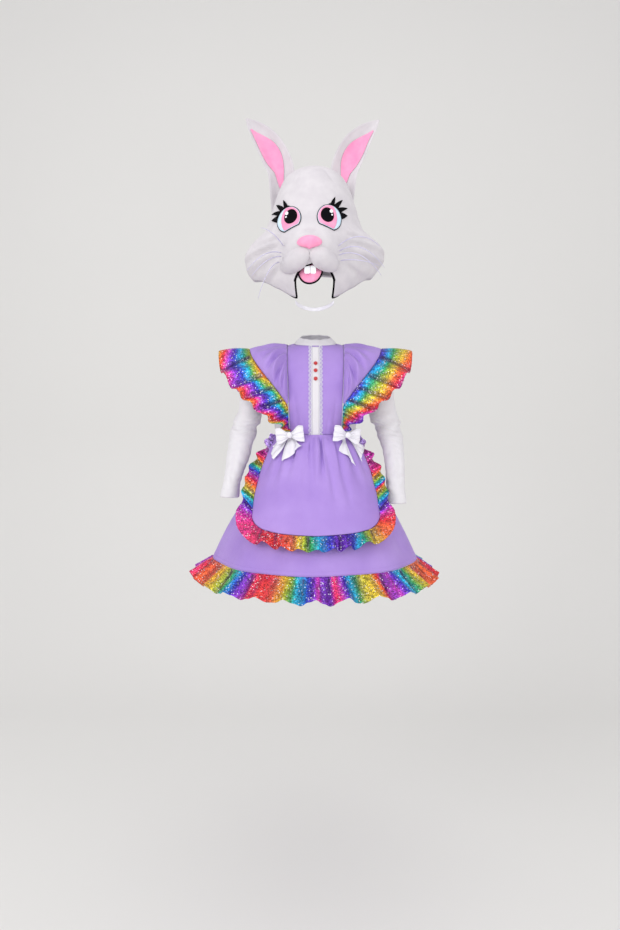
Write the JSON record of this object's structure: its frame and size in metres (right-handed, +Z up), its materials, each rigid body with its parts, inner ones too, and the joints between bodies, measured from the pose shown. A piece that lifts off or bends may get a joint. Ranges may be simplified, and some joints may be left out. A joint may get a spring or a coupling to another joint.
{
  "type": "rabbit mascot costume",
  "caption": "Rabbit head mask with long ears above a lilac dress with flutter wings, apron, rainbow ruffles, white sleeves and satin bows.",
  "frame": {"origin": "centre of the neckline, where the wearer's neck holds the dress", "axes": "+Z up towards the head, -Y towards the front, +X to the right in the front view"},
  "size_m": [0.7174, 0.7125, 1.3164],
  "materials": {
    "white_jersey": "smooth knit",
    "white_plush": "short plush over foam",
    "white_satin": "satin",
    "white_lace": "scalloped lace",
    "lilac_cotton": "plain weave",
    "rainbow_foil": "foil stripes with sequin dots",
    "pink_felt": "felt",
    "black_felt": "felt",
    "eye_white": "felt",
    "red_button": "gloss",
    "whisker": "stiff filament"
  },
  "bodies": {
    "root": {"apron": "lilac_cotton", "apron_ruffle": "rainbow_foil", "bodice_back": "lilac_cotton", "bodice_front": "lilac_cotton", "bodice_side_left": "white_jersey", "bodice_side_right": "white_jersey", "bow_left_knot": "white_satin", "bow_left_loops": "white_satin", "bow_left_tails": "white_satin", "bow_right_knot": "white_satin", "bow_right_loops": "white_satin", "bow_right_tails": "white_satin", "button_1": "red_button", "button_2": "red_button", "button_3": "red_button", "collar": "white_jersey", "hem_ruffle": "rainbow_foil", "lace_left": "white_lace", "lace_right": "white_lace", "mask_chin_strap": "white_satin", "mask_ear_left": "white_plush", "mask_ear_lining_left": "pink_felt", "mask_ear_lining_right": "pink_felt", "mask_ear_right": "white_plush", "mask_eye_rim_left": "black_felt", "mask_eye_rim_right": "black_felt", "mask_eye_white_left": "eye_white", "mask_eye_white_right": "eye_white", "mask_iris_left": "pink_felt", "mask_iris_right": "pink_felt", "mask_lashes_left": "black_felt", "mask_lashes_right": "black_felt", "mask_muzzle_left": "white_plush", "mask_muzzle_right": "white_plush", "mask_nose": "pink_felt", "mask_pupil_left": "black_felt", "mask_pupil_right": "black_felt", "mask_shell": "white_plush", "mask_teeth": "white_satin", "mask_tongue": "pink_felt", "mask_tongue_rim": "black_felt", "mask_whisker_left_1": "whisker", "mask_whisker_left_2": "whisker", "mask_whisker_left_3": "whisker", "mask_whisker_left_4": "whisker", "mask_whisker_right_1": "whisker", "mask_whisker_right_2": "whisker", "mask_whisker_right_3": "whisker", "mask_whisker_right_4": "whisker", "placket": "white_jersey", "sleeve_left": "white_jersey", "sleeve_right": "white_jersey", "underskirt": "lilac_cotton", "wing_left": "lilac_cotton", "wing_right": "lilac_cotton", "wing_ruffle_left": "rainbow_foil", "wing_ruffle_right": "rainbow_foil"}
  },
  "joints": []
}
